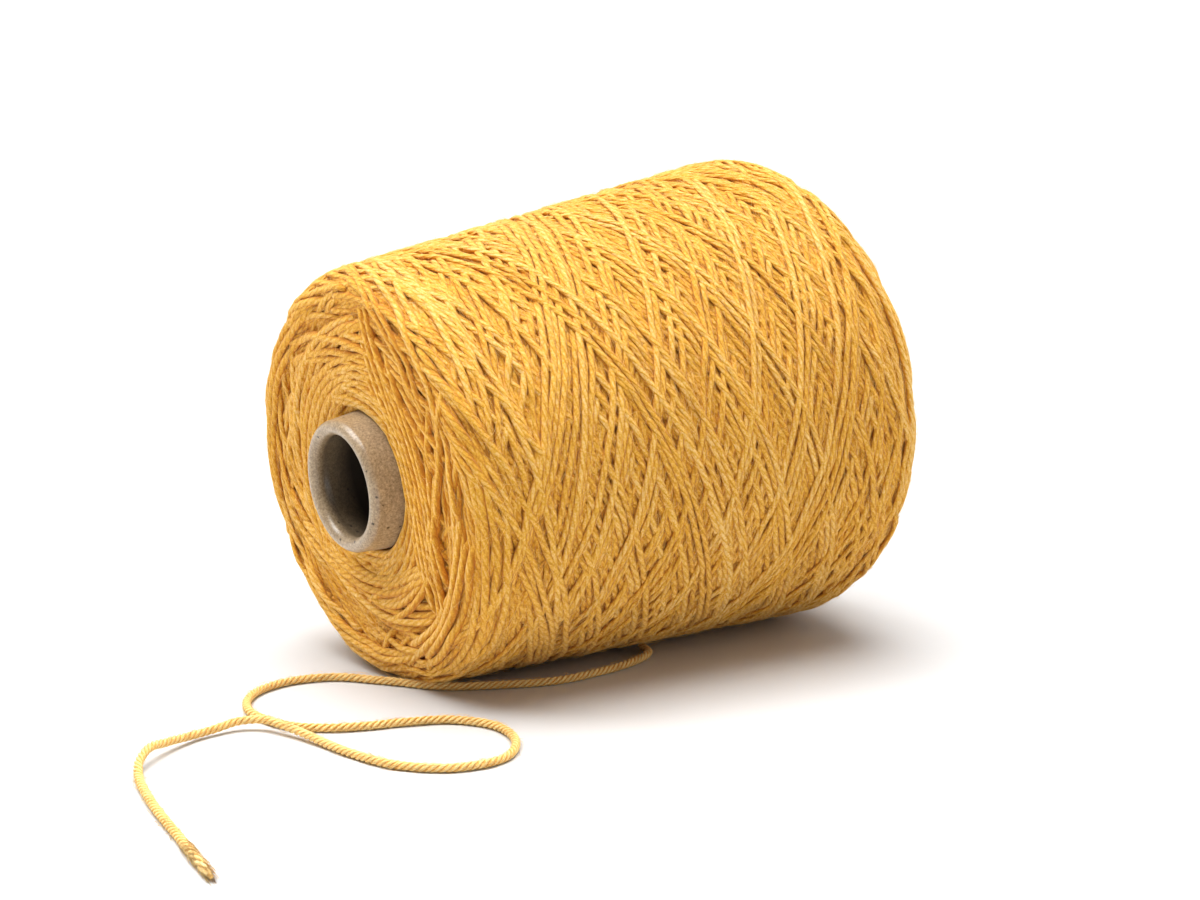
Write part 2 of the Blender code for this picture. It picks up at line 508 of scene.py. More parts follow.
def add_values(mesh: bpy.types.Mesh, name: str, values: np.ndarray) -> None:
    """Adds a value for each of a mesh's vertices, for its finish to read."""
    attribute = mesh.attributes.new(name, "FLOAT", "POINT")
    attribute.data.foreach_set("value", values.astype(np.float32))


def ring_faces(rings: int, points: int) -> np.ndarray:
    """The quads of a closed tube whose section is closed too.

    Args:
        rings: how many sections there are, the last one joined to the first.
        points: how many points a section has.

    Returns:
        Each face's four vertices.
    """
    here = np.arange(rings)[:, None] * points
    there = np.roll(here, -1, axis=0)
    point = np.arange(points)[None]
    after = (point + 1) % points
    return np.stack([here + point, there + point, there + after, here + after], -1).reshape(-1, 4)


@dataclass
class TubeMesh:
    """Many closed tubes, gathered into one mesh with a bake map and a twist map.

    The bake map lays the tubes end to end in rows as high as their girth, with a margin between rows.
    """

    name: str
    sides: int
    lay_length: float
    girth: float = 0.0066
    margin: float = 0.04
    cap_reach: float = 0.45
    points: list = field(default_factory=list)
    rings: list = field(default_factory=list)
    tones: list = field(default_factory=list)

    def add(self, centres: np.ndarray, up: np.ndarray, half_width: np.ndarray, half_height: np.ndarray,
            tone: np.ndarray | float, start_turn: float = 0.0) -> None:
        """Adds one tube.

        Args:
            centres: the middle of each ring.
            up: for each ring, the way its flat side faces.
            half_width: each ring's half width.
            half_height: each ring's half height.
            tone: how light it is, from 0 to 1, at each ring or all along.
            start_turn: the twist that its first ring starts with, in turns.
        """
        ahead = unit(np.gradient(centres, axis=0))
        side = unit(np.cross(ahead, up))
        rise = np.cross(side, ahead)
        turn = TURN * (np.arange(self.sides) + 0.5) / self.sides
        sine, cosine = np.sin(turn)[None, :, None], np.cos(turn)[None, :, None]
        ring = centres[:, None] - rise[:, None] * cosine * half_height[:, None, None]
        ring = ring + side[:, None] * sine * half_width[:, None, None]
        self.points.append(ring.reshape(-1, 3))
        self.rings.append((len(centres), run_along(centres), start_turn))
        self.tones.append(np.repeat(np.broadcast_to(tone, len(centres)), self.sides))

    def triangles(self) -> int:
        """How many triangles the mesh has so far."""
        return sum(2 * self.sides * count - 4 for count, _, _ in self.rings)

    def _tape(self) -> tuple[np.ndarray, np.ndarray, np.ndarray, np.ndarray]:
        """Lays the quad rows of all tubes end to end.

        Returns:
            Each row's first vertex, its start and length along all tubes, and its start along its twist.
        """
        firsts, starts, lengths, runs, vertex, before = [], [], [], [], 0, 0.0
        for count, run, start_turn in self.rings:
            firsts.append(vertex + np.arange(count - 1) * self.sides)
            starts.append(before + run[:-1])
            lengths.append(np.diff(run))
            runs.append(run[:-1] + start_turn * self.lay_length)
            vertex += count * self.sides
            before += run[-1]
        return tuple(np.concatenate(part) for part in (firsts, starts, lengths, runs))

    def make(self, finish: bpy.types.Material) -> bpy.types.Object:
        """Builds the object.

        Args:
            finish: its material.

        Returns:
            The object, linked to the scene.
        """
        firsts, starts, lengths, runs = self._tape()
        sides, quads = self.sides, len(firsts) * self.sides
        here = np.arange(sides)
        after = (here + 1) % sides
        corners = np.stack([here, after, after + sides, here + sides], -1)
        faces = (firsts[:, None, None] + corners[None]).reshape(-1, 4)
        ends, vertex = [], 0
        for count, _, _ in self.rings:
            last = vertex + (count - 1) * sides
            ends.append(vertex + here[::-1])
            ends.append(last + here)
            vertex += count * sides
        caps = np.concatenate(ends)
        mesh = bpy.data.meshes.new(self.name)
        mesh.vertices.add(vertex)
        mesh.vertices.foreach_set("co", np.concatenate(self.points).astype(np.float32).ravel())
        mesh.loops.add(quads * 4 + len(caps))
        mesh.loops.foreach_set("vertex_index", np.r_[faces.ravel(), caps].astype(np.int32))
        mesh.polygons.add(quads + len(caps) // sides)
        loop_starts = np.r_[np.arange(quads) * 4, quads * 4 + np.arange(len(caps) // sides) * sides]
        mesh.polygons.foreach_set("loop_start", loop_starts.astype(np.int32))
        mesh.update(calc_edges=True)
        self._map(mesh, starts, lengths, runs, len(caps))
        add_values(mesh, "tone", np.concatenate(self.tones))
        mesh.shade_smooth()
        mesh.materials.append(finish)
        return linked(self.name, mesh)

    def _map(self, mesh: bpy.types.Mesh, starts: np.ndarray, lengths: np.ndarray, runs: np.ndarray,
             cap_corners: int) -> None:
        """Adds the bake map, where the tubes lie in rows side by side, and the twist map.

        Args:
            mesh: the mesh to map.
            starts: where each quad row starts along all tubes.
            lengths: how long each quad row is.
            runs: where each quad row starts along its own twist.
            cap_corners: how many corners the end caps have.
        """
        longest = lengths.max()
        total = starts[-1] + lengths[-1]
        rows = max(1, math.ceil(math.sqrt(total / self.girth)))
        row_length = total / rows
        row = np.minimum(np.floor(starts / row_length), rows - 1)
        begin = (starts - row * row_length) / (row_length + longest)
        reach = lengths / (row_length + longest)
        round_it = np.arange(self.sides) / self.sides
        step = 1 / self.sides
        u = begin[:, None, None] + reach[:, None, None] * np.array([0, 0, 1, 1])
        across = round_it[None, :, None] + step * np.array([0, 1, 1, 0])
        v = (row[:, None, None] + self.margin + (1 - 2 * self.margin) * across) / (rows + 1)
        bake = np.stack([np.broadcast_to(u, v.shape), v], -1).reshape(-1, 2)
        turns = runs[:, None, None] + lengths[:, None, None] * np.array([0, 0, 1, 1])
        turns = np.broadcast_to(turns / self.lay_length, v.shape)
        twist = np.stack([turns, np.broadcast_to(across, v.shape)], -1).reshape(-1, 2)
        caps = self._caps(cap_corners // self.sides, 1 / (rows + 1))
        for name, places in ((TWIST_MAP, twist), (BAKE_MAP, bake)):
            add_map(mesh, name, np.r_[places, caps])

    def _caps(self, count: int, height: float) -> np.ndarray:
        """Places for the end caps in the strip at the top of the bake map.

        Args:
            count: how many caps there are.
            height: how high the strip is.

        Returns:
            The place of each cap's corners.
        """
        lines = math.ceil(math.sqrt(count * height))
        columns = math.ceil(count / lines)
        cell = np.array([1 / columns, height / lines])
        number = np.arange(count)
        middle = (np.stack([number % columns, number // columns], -1) + 0.5) * cell + (0, 1 - height)
        turn = TURN * np.arange(self.sides) / self.sides
        corner = self.cap_reach * np.stack([np.cos(turn), np.sin(turn)], -1) * cell
        return (middle[:, None] + corner[None]).reshape(-1, 2)


# ---------------------------------------------------------------------------------------------------------
# The cone's form


@dataclass(frozen=True)
class ConeForm:
    """Sizes of the paper core and of the package, and their places on the table.

    A section is given as (along, radius): the distance down the axis from the tip of the nose, and the
    distance from the axis.
    """

    core_length: float = 0.170
    core_slope: float = math.tan(math.radians(5.95))
    nose_radius: float = 0.018
    core_wall: float = 0.0028
    mouth_radius: float = 0.0141
    lip_depth: float = 0.0023
    roll_depth: float = 0.0045
    flank_low: tuple = (0.030, 0.0585)
    flank_high: tuple = (0.140, 0.0692)
    small_face: float = 0.0072
    small_face_at_core: float = 0.0100
    small_shoulder: tuple = (0.012, 0.007)
    big_face: float = 0.1534
    big_face_at_core: float = 0.1508
    big_shoulder: tuple = (0.014, 0.014)
    core_gap: float = 0.0003
    flat_sink: float = 0.0003

    @property
    def flank_slope(self) -> float:
        """How fast the flank widens."""
        (low, low_radius), (high, high_radius) = self.flank_low, self.flank_high
        return (high_radius - low_radius) / (high - low)

    @property
    def tilt(self) -> float:
        """How far the axis rises from the table."""
        return math.atan(self.flank_slope)

    @property
    def nose_tip(self) -> tuple[float, float]:
        """The tip of the nose, on the axis.

        Returns:
            Its X and its Z.
        """
        foot = self.core_length * math.cos(self.tilt)
        foot += (self.core_radius(self.core_length) - self.nose_radius) * math.sin(self.tilt)
        return -foot / 2, self.flank_radius(0) * math.cos(self.tilt) - self.flat_sink

    def core_radius(self, along: float) -> float:
        """The core's outer radius."""
        return self.nose_radius + along * self.core_slope

    def flank_radius(self, along: float) -> float:
        """The flank's radius."""
        return self.flank_low[1] + (along - self.flank_low[0]) * self.flank_slope

    def place(self, along: np.ndarray, side: np.ndarray, up: np.ndarray) -> np.ndarray:
        """Points of the row frame.

        Args:
            along: distances down the axis.
            side: distances to the +Y side of it.
            up: distances from it, square to it and upwards.

        Returns:
            The points, one to a row.
        """
        x, z = self.nose_tip
        cosine, sine = math.cos(self.tilt), math.sin(self.tilt)
        return np.stack([x + along * cosine - up * sine, side, z + along * sine + up * cosine], -1)


class End(Enum):
    """The package's ends, by their place in a pair of sizes."""

    SMALL = 0
    BIG = 1


@dataclass
class PackageSurface:
    """The package's surface, by the distance along its section (run) and the angle round the axis."""

    form: ConeForm
    samples: int = 2001
    curve_points: int = 40
    softened: float = 0.0008

    def __post_init__(self) -> None:
        """Works out the section: small face, small shoulder, flank, big shoulder and big face."""
        form = self.form
        small = self._shoulder(form.small_face, form.small_shoulder, 1)
        big = self._shoulder(form.big_face, form.big_shoulder, -1)
        pieces = [
            self._face(form.small_face_at_core, small[0]),
            small,
            big[::-1],
            self._face(form.big_face_at_core, big[0])[::-1],
        ]
        points = np.vstack(pieces)
        run = np.r_[0, np.cumsum(np.hypot(*np.diff(points, axis=0).T))]
        self.length = float(run[-1])
        self.run = np.linspace(0, self.length, self.samples)
        self.along, self.radius = (
            smoothed(np.interp(self.run, run, values), self.run[1], self.softened) for values in points.T
        )
        way = unit(np.stack([np.gradient(self.along), np.gradient(self.radius)], -1))
        self.out_along, self.out_radius = -way[:, 1], way[:, 0]

    def _shoulder(self, face: float, reach: tuple, inwards: int) -> np.ndarray:
        """Works out the quarter ellipse from an end face out to the flank.

        Args:
            face: how far along the axis the face's rim is.
            reach: the ellipse's half axes, along the axis and out from it.
            inwards: 1 at the small end, -1 at the big end.

        Returns:
            Its points, as (along, radius).
        """
        along_reach, radius_reach = reach
        top = self.form.flank_radius(face + inwards * along_reach)
        turn = np.linspace(0, math.pi / 2, self.curve_points)
        along = face + inwards * along_reach * (1 - np.cos(turn))
        return np.stack([along, top - radius_reach * (1 - np.sin(turn))], 1)

    def _face(self, at_core: float, rim: np.ndarray) -> np.ndarray:
        """Works out an end face, from the core out to its rim.

        Args:
            at_core: how far along the axis it meets the core.
            rim: the rim's point, as (along, radius).

        Returns:
            Its points, as (along, radius).
        """
        start = self.form.core_radius(at_core) + self.form.core_gap
        share = np.linspace(0, 1, self.curve_points, endpoint=False)
        along = at_core + (rim[0] - at_core) * np.sin(share * math.pi / 2)
        return np.stack([along, start + (rim[1] - start) * share], 1)

    def radius_at(self, run: np.ndarray) -> np.ndarray:
        """The surface's radius."""
        return np.interp(run, self.run, self.radius)

    def run_from(self, end: End, start: np.ndarray | float) -> np.ndarray | float:
        """The run of what is that far along the section from one of its ends."""
        return start if end is End.SMALL else self.length - start

    def place(self, run: np.ndarray, angle: np.ndarray,
              height: np.ndarray) -> tuple[np.ndarray, np.ndarray]:
        """Points over the surface, and the ways out of it.

        Args:
            run: the distance along the section, of each point.
            angle: its angle round the axis.
            height: how far it stands off the surface.

        Returns:
            The points and the outward directions, in the row frame.
        """
        along, radius, out_along, out_radius = (
            np.interp(run, self.run, values)
            for values in (self.along, self.radius, self.out_along, self.out_radius)
        )
        sine, cosine = np.sin(angle), np.cos(angle)
        reach = radius + out_radius * height
        points = self.form.place(along + out_along * height, reach * sine, reach * cosine)
        tips = self.form.place(
            along + out_along * (height + 1),
            (reach + out_radius) * sine,
            (reach + out_radius) * cosine,
        )
        return points, tips - points


# ---------------------------------------------------------------------------------------------------------
# Winding


@dataclass
class Laid:
    """A strand as it lies on the package, at even steps.

    dive is how deep it goes down at its ends, and cells are those of the field that it covers.
    """

    run: np.ndarray
    angle: np.ndarray
    height: np.ndarray
    dive: np.ndarray
    cells: tuple
    tone: float
    half_width: float
    half_height: float


@dataclass
class SupportField:
    """How high the yarn stands, all over the package's surface, while strand after strand is laid.

    A strand slips sideways by up to slip, sinks by crush into what it crosses, and bends down between its
    supports with a curvature of bend, within span of each.
    """

    surface: PackageSurface
    cell: float = 0.0004
    lanes: int = 7
    slip: float = 0.0009
    slip_cost: float = 0.0004
    slip_choice: float = 0.00012
    slip_blur: float = 0.003
    bend: float = 90
    span: float = 0.006
    blur: float = 0.0008
    crush: float = 0.0004
    edge: float = 0.0008
    laid: list[Laid] = field(default_factory=list)

    def __post_init__(self) -> None:
        """Starts with nothing laid on the package's surface."""
        self.runs = int(self.surface.length / self.cell) + 1
        self.turns = int(TURN * MEAN_RADIUS / self.cell)
        self.height = np.zeros((self.turns, self.runs))
        self.across = np.linspace(-1, 1, self.lanes)
        self.shifts = np.linspace(-self.slip, self.slip, self.lanes)
        self.crown = np.sqrt(1 - self.across ** 2)

    def cells(self, run: np.ndarray, angle: np.ndarray) -> tuple[np.ndarray, np.ndarray]:
        """Finds the cells under some places.

        Args:
            run: the places' distances along the section.
            angle: their angles round the axis.

        Returns:
            The cells' rows and columns.
        """
        column = np.clip(np.rint(run / self.cell).astype(int), 0, self.runs - 1)
        row = np.rint((angle % TURN) / TURN * self.turns).astype(int) % self.turns
        return row, column

    def mean_height(self, run: np.ndarray, angle: np.ndarray) -> float:
        """How high the yarn stands along a path, on average."""
        return float(self.height[self.cells(run, angle)].mean())

    def _spanned(self, height: np.ndarray) -> np.ndarray:
        """Pulls a strand taut over what is under it, so that it bends down between supports only so far.

        Args:
            height: how high what is under it stands, at even steps.

        Returns:
            How high the strand lies, at the same steps.
        """
        count = int(self.span / self.cell)
        drops = self.bend / 2 * (np.arange(-count, count + 1) * self.cell) ** 2
        padded = np.pad(height, count, constant_values=-1.0)
        over = np.max([padded[k:k + len(height)] - drop for k, drop in enumerate(drops)], axis=0)
        padded = np.pad(over, count, constant_values=1.0)
        return np.min([padded[k:k + len(height)] + drop for k, drop in enumerate(drops)], axis=0)

    def _paths(self, run: np.ndarray, angle: np.ndarray, offsets: np.ndarray) -> tuple:
        """Paths beside a path.

        Args:
            run: the path's distances along the section.
            angle: its angles.
            offsets: how far beside it the other paths lie.

        Returns:
            The runs and the angles, with a row for each point of the path.
        """
        radius = self.surface.radius_at(run)
        way = unit(np.stack([np.gradient(run), np.gradient(angle) * radius], -1))
        return run[:, None] - way[:, 1:] * offsets, angle[:, None] + way[:, :1] * offsets / radius[:, None]

    def _nestled(self, run: np.ndarray, angle: np.ndarray, size: tuple) -> tuple[np.ndarray, np.ndarray]:
        """Eases a path sideways into the furrows between the strands that run along with it.

        Args:
            run: the path's distances along the section.
            angle: its angles.
            size: the strand's half width and half height.

        Returns:
            The eased path's distances and angles.
        """
        width, thickness = size
        offsets = (self.shifts[:, None] + self.across * width).ravel()
        heights = self.height[self.cells(*self._paths(run, angle, offsets))]
        heights = heights.reshape(len(run), len(self.shifts), -1) + self.crown * thickness
        support = heights.max(2) + self.slip_cost * (self.shifts / self.slip) ** 2
        support = np.stack([smoothed(column, self.cell, self.slip_blur) for column in support.T], -1)
        pull = np.exp(-(support - support.min(1, keepdims=True)) / self.slip_choice)
        shift = smoothed((pull * self.shifts).sum(1) / pull.sum(1), self.cell, self.slip_blur)
        run, angle = self._paths(run, angle, shift[:, None])
        return run[:, 0], angle[:, 0]

    def lay(self, run: np.ndarray, angle: np.ndarray, tone: float, size: tuple, dive: float = 0.0) -> None:
        """Lays one strand over what is there.

        Args:
            run: its path, as distances along the section.
            angle: its path, as angles round the axis.
            tone: how light it is, from 0 to 1.
            size: its half width and half height.
            dive: how deep its two ends go down into the package.
        """
        middle = (run[1:] + run[:-1]) / 2
        lengths = np.hypot(np.diff(run), np.diff(angle) * self.surface.radius_at(middle))
        so_far = np.r_[0, np.cumsum(lengths)]
        place = np.linspace(0, so_far[-1], int(so_far[-1] / self.cell) + 2)
        run, angle = np.interp(place, so_far, run), np.interp(place, so_far, angle)
        run, angle = self._nestled(run, angle, size)
        crown = self.crown * size[1]
        run = np.clip(run, self.edge, self.surface.length - self.edge)
        cells = self.cells(*self._paths(run, angle, self.across * size[0]))
        support = (self.height[cells] + crown).max(1)
        height = smoothed(self._spanned(support), self.cell, self.blur) - self.crush
        depth = dive * np.abs(2 * place / place[-1] - 1) ** 4
        np.maximum.at(self.height, cells, (height - depth)[:, None] + crown)
        self.laid.append(Laid(run, angle, height, depth, cells, tone, *size))

    def blurred(self, reach: float) -> np.ndarray:
        """Blurs the height field, first round the axis and then along the section.

        Args:
            reach: the blur's standard deviation, as a distance.

        Returns:
            The blurred field.
        """
        found, weights = self.height, bell(self.cell, reach)
        count = len(weights) // 2
        for axis, mode in enumerate(("wrap", "edge")):
            pads = [(count, count) if k == axis else (0, 0) for k in (0, 1)]
            padded = np.pad(found, pads, mode=mode)
            size = found.shape[axis]
            found = sum(
                weight * (padded[k:k + size] if axis == 0 else padded[:, k:k + size])
                for k, weight in enumerate(weights)
            )
        return found

    def settle(self, reach: float, rise: float, fall: float, more: float) -> None:
        """Fixes the level that heights are counted from, and how far from it they may be.

        Args:
            reach: the blur that turns the field into its level.
            rise: the most that yarn stands above the level.
            fall: the most that it lies below it.
            more: what is added to both on the end faces.
        """
        self.level = self.blurred(reach)
        run = np.arange(self.runs) * self.cell
        from_end = np.minimum(run, self.surface.length - run)
        on_face = more * (1 - smooth_step(*FACE_EDGE, from_end))
        self.rise, self.fall = rise + on_face, fall + on_face

    def settled(self, height: np.ndarray, cells: tuple) -> np.ndarray:
        """Counts heights from the level, and presses them softly into the yarn's range.

        Args:
            height: the heights.
            cells: the cells that they are in.

        Returns:
            The heights over the package's surface.
        """
        above = height - self.level[cells]
        limit = np.where(above > 0, self.rise[cells[1]], self.fall[cells[1]])
        return limit * np.tanh(above / limit)


@dataclass(frozen=True)
class WindingRun:
    """Strokes of the winder in a row, while its gearing stays as it is.

    After so many double strokes the strand comes back beside itself, and each time a pitch further. Where
    ribbon_at gives a turn to start from, each stroke lies right beside the one before.
    """

    whole_turns: int
    returns: int
    strokes: int
    creep: float = 1.0
    ribbon_at: float | None = None

    @property
    def turns(self) -> float:
        """About how many turns of the package go with one double stroke."""
        return self.whole_turns / self.returns


@dataclass(frozen=True)
class FacePatch:
    """Strands side by side on an end face, pulled straighter than the rings they lie on.

    turn is where their middle is, round the axis; start is how far the first one is from the core; lean is
    how much they run outwards; taut is how straight they are, from 0 to 1; and widest is the most that half
    a strand turns round the axis.
    """

    turn: float
    start: float
    half_length: float
    lean: float
    taut: float
    strands: int
    widest: float = 1.15
    points: int = 60

    def path(self, surface: PackageSurface, end: End, further: float = 0.0, lean: float = 0.0,
             taut: float = 0.0, longer: float = 1.0) -> tuple[np.ndarray, np.ndarray]:
        """The path of one of its strands.

        Args:
            surface: the package's surface.
            end: the end that the patch is on.
            further: how much further out than the first strand this one is.
            lean: how much more it leans.
            taut: how much straighter it is.
            longer: how many times longer it is.

        Returns:
            The path's distances along the section, and its angles.
        """
        start = self.start + further
        radius = float(surface.radius_at(surface.run_from(end, start)))
        widest = min(self.half_length * longer / radius, self.widest)
        angle = np.linspace(-widest, widest, self.points)
        run = start + radius * ((self.taut + taut) * (1 / np.cos(angle) - 1) + (self.lean + lean) * angle)
        return surface.run_from(end, run), TURN * self.turn + angle


@dataclass
class Package:
    """The wound package: turns on both end faces, crossing strokes on the flank, and a body.

    Sizes in pairs are for the small end and the big end, or the least and the most of a random size. Names
    that start with face are of the turns on the end faces, and those with body of the hidden body, whose
    depths under the yarn are those on the faces and on the flank. tuck is how long and how deep a strand's
    ends are tucked in.
    """

    form: ConeForm
    half_width: float = 0.00084
    half_height: float = 0.00070
    spread: float = 1.17
    uneven: tuple = (0.92, 1.08)
    lay_length: float = 0.0145
    sides: int = 7
    seed: int = 11

    # the winder's strokes
    runs: tuple = (
        WindingRun(26, 9, 36),
        WindingRun(22, 7, 35, -1.05),
        WindingRun(31, 11, 44),
        WindingRun(23, 8, 40, -1.05),
        WindingRun(20, 7, 21, -1.0),
        WindingRun(26, 9, 58),
        WindingRun(30, 11, 7, ribbon_at=0.28),
        WindingRun(19, 7, 3, ribbon_at=0.70),
    )
    pitch: float = 0.00172
    evenly: float = 0.9
    gap: tuple = (0.88, 1.08)
    wide_gap: tuple = (1.3, 1.9)
    stray: float = 0.28
    sway: float = 0.0009
    sways: tuple = (2, 5, 11, 23)
    stroke_points: int = 600
    turn_softness: tuple = (0.11, 0.045)
    turn_spans: tuple = ((0.013, 0.041), (0.172, 0.196))
    turn_reach: tuple = (0.028, 0.022)
    turn_tries: int = 7

    # the turns on the end faces
    face_every: int = 6
    face_width: float = 0.00113
    face_height: float = 0.00104
    face_pitch: float = 0.00230
    face_half: tuple = (0.028, 0.052)
    face_lean: float = 0.13
    face_taut: tuple = (0.0, 0.42)
    face_slackening: float = 0.8
    face_group: tuple = (3, 9)
    face_tries: int = 8
    face_share: tuple = (0.02, 1.0)
    face_reach: tuple = (0.036, 0.027)
    face_edge: tuple = (0.022, 0.016)
    face_stray: float = 0.0004
    face_lean_stray: float = 0.022
    face_taut_stray: float = 0.05
    face_longer: tuple = (0.8, 1.1)
    face_dive: float = 0.0022
    flank_run: tuple = (0.06, 0.15)
    last_groups: tuple = (24, 15)
    last_patches: tuple = (
        FacePatch(0.30, 0.004, 0.036, 0.08, 0.22, 5),
        FacePatch(0.10, 0.006, 0.036, -0.07, 0.15, 4),
        FacePatch(0.50, 0.002, 0.036, -0.06, 0.36, 5),
        FacePatch(0.80, 0.0010, 0.030, 0.0, 0.66, 6),
    )

    # the relief
    level_blur: float = 0.005
    rise: float = 0.0007
    fall: float = 0.0008
    face_more: float = 0.0009
    top_of_yarn: float = 0.0003

    # the meshes
    ring_step: float = 0.0025
    most_triangles: int = 150_000
    hidden_below: float = 0.0002
    overlap: float = 0.003
    tuck: tuple = (0.003, 0.0009)
    height_blur: float = 0.0006
    # painted shade: stretches that lie deeper get a darker tone, between these depths
    shade_by_depth: float = 520
    shade_depths: tuple = (-0.0012, 0.00036)
    twist_by_start: float = 50
    body_below: tuple = (0.0020, 0.0010)
    body_strand: float = 0.0019
    body_step: float = 0.0019

    def __post_init__(self) -> None:
        """Starts with a bare core, and a source of random numbers."""
        self.draw = np.random.default_rng(self.seed)
        self.support = SupportField(PackageSurface(self.form))

    def wind(self) -> None:
        """Winds the whole package."""
        angle, done = 0.0, 0
        for run in self.runs:
            angle = angle if run.ribbon_at is None else run.ribbon_at * TURN
            for _ in range(run.strokes):
                if done % self.face_every == 0:
                    self._fill_faces()
                angle = self._wind_stroke(run, angle)
                done += 1
        for end in End:
            for _ in range(self.last_groups[end.value]):
                self._lay_patch(self._low_patch(end), end)
        for patch in self.last_patches:
            self._lay_patch(patch, End.SMALL)
        self.support.settle(self.level_blur, self.rise, self.fall, self.face_more)

    def _fill_faces(self) -> None:
        """Lays turns on both end faces until they stand as high as the flank."""
        height, cell = self.support.height, self.support.cell
        low, high = (int(run / cell) for run in self.flank_run)
        flank = height[:, low:high].mean()
        for end in End:
            edge = int(self.face_edge[end.value] / cell)
            face = height[:, :edge] if end is End.SMALL else height[:, -edge:]
            while face.mean() < flank:
                self._lay_patch(self._low_patch(end), end)

    def _low_patch(self, end: End) -> FacePatch:
        """A patch for an end face where the yarn is low.

        Args:
            end: the face's end.

        Returns:
            The patch.
        """
        draw, support = self.draw, self.support
        half, lean = draw.uniform(*self.face_half), self.face_lean * draw.uniform(-1, 1)
        taut, strands = draw.uniform(*self.face_taut), int(draw.integers(*self.face_group))
        turns, shares = draw.random(self.face_tries), draw.uniform(*self.face_share, self.face_tries)
        tries = [
            FacePatch(turn, share * self.face_reach[end.value], half, lean,
                      taut * (1 - self.face_slackening * share), strands)
            for turn, share in zip(turns, shares)
        ]
        return min(tries, key=lambda patch: support.mean_height(*patch.path(support.surface, end)))

    def _lay_patch(self, patch: FacePatch, end: End) -> None:
        """Lays a patch's strands, no two of them quite alike.

        Args:
            patch: the patch.
            end: the end that it is on.
        """
        draw = self.draw
        for number in range(patch.strands):
            further = number * self.face_pitch + draw.normal(0, self.face_stray)
            lean, taut = draw.normal(0, self.face_lean_stray), draw.normal(0, self.face_taut_stray)
            longer = draw.uniform(*self.face_longer)
            run, angle = patch.path(self.support.surface, end, further, lean, taut, longer)
            size = self.face_width * draw.uniform(*self.uneven), self.face_height
            self.support.lay(run, angle, draw.random(), size, dive=self.face_dive)

    def _stroke(self, share: np.ndarray) -> np.ndarray:
        """How far the guide is along its stroke: 0, 1 and 0 again, with soft turns at its ends.

        Args:
            share: how much of the double stroke is done.

        Returns:
            The guide's place, from 0 at the small end to 1 at the big end.
        """
        from_start = np.abs((share + 0.5) % 1 - 0.5)
        near, far = (
            np.hypot(distance, softness) - softness
            for distance, softness in zip((from_start, 0.5 - from_start), self.turn_softness)
        )
        return near / (near + far)

    def _wind_stroke(self, run: WindingRun, angle: float) -> float:
        """Lays one double stroke, which turns back where the ends are lowest.

        Args:
            run: the gearing.
            angle: where it starts.

        Returns:
            The angle where the next one starts.
        """
        draw = self.draw
        low, high = (np.mean(span) for span in self.turn_spans)
        lead = math.atan(2 * (high - low) / (run.turns * TURN * MEAN_RADIUS))
        gap = draw.uniform(*self.gap) if draw.random() < self.evenly else draw.uniform(*self.wide_gap)
        creep = run.creep * gap * self.pitch / math.sin(lead) / MEAN_RADIUS
        turned = TURN * run.turns + creep / run.returns
        share = np.linspace(0, 1, self.stroke_points)
        path = low + (high - low) * self._stroke(share)
        shift = draw.normal(0, self.stray) * self.pitch / math.sin(lead) / MEAN_RADIUS
        angles = angle + turned * share + shift
        near_ends = [
            np.exp(-((path - middle) / reach) ** 2) for middle, reach in zip((low, high), self.turn_reach)
        ]
        for near, span in zip(near_ends, self.turn_spans):
            path = path + self._lowest(path, angles, near, span)
        for waves in self.sways:
            reach = draw.normal(0, self.sway / waves ** 0.5)
            path = path + reach * np.sin(TURN * (share * waves + draw.random()))
        size = self.half_width * draw.uniform(*self.uneven), self.half_height
        self.support.lay(path, angles, draw.random(), size)
        return angle + (turned if run.ribbon_at is None else creep)

    def _lowest(self, path: np.ndarray, angles: np.ndarray, near: np.ndarray, span: tuple) -> np.ndarray:
        """How a stroke's end is pushed in or out, to turn back where the yarn is lowest.

        Args:
            path: the stroke's distances along the section.
            angles: its angles.
            near: how much each point follows its end.
            span: between where and where it may turn back.

        Returns:
            The shift of each point.
        """
        at_end = near > 0.5
        tries = self.draw.uniform(*span, self.turn_tries) - np.mean(span)
        heights = [
            self.support.mean_height((path + shift * near)[at_end], angles[at_end]) for shift in tries
        ]
        return tries[int(np.argmin(heights))] * near

    def build(self, finish: bpy.types.Material, hidden: bpy.types.Material) -> list[bpy.types.Object]:
        """Makes the body and the strands that show, in meshes of a size that can be handled.

        Args:
            finish: the yarn's material.
            hidden: the material of the body's turns, a darker copy of the wool that paints the shade deep
                in the gaps.

        Returns:
            The objects.
        """
        made, mesh = [self._body(hidden)], TubeMesh("strands_1", self.sides, self.lay_length)
        for strand in self.support.laid:
            for part in self._showing(strand):
                if mesh.triangles() > self.most_triangles:
                    made.append(mesh.make(finish))
                    mesh = TubeMesh(f"strands_{len(made)}", self.sides, self.lay_length)
                self._add(mesh, strand, part)
        made.append(mesh.make(finish))
        return made

    def _showing(self, strand: Laid) -> list[slice]:
        """Finds the stretches of a strand that later ones don't hide, a little longer at both ends.

        Args:
            strand: the strand.

        Returns:
            The stretches.
        """
        support = self.support
        top = (strand.height - strand.dive)[:, None] + support.crown * strand.half_height
        open_here = (support.height[strand.cells] - top < self.hidden_below).sum(1) > 0
        margin = int(self.overlap / support.cell)
        spread = np.convolve(open_here, np.ones(2 * margin + 1), "same") > 0
        edges = np.flatnonzero(np.diff(np.r_[False, spread, False].astype(int)))
        parts = [slice(a, b) for a, b in zip(edges[::2], edges[1::2])]
        return [part for part in parts if part.stop - part.start > 2 * margin + 1]

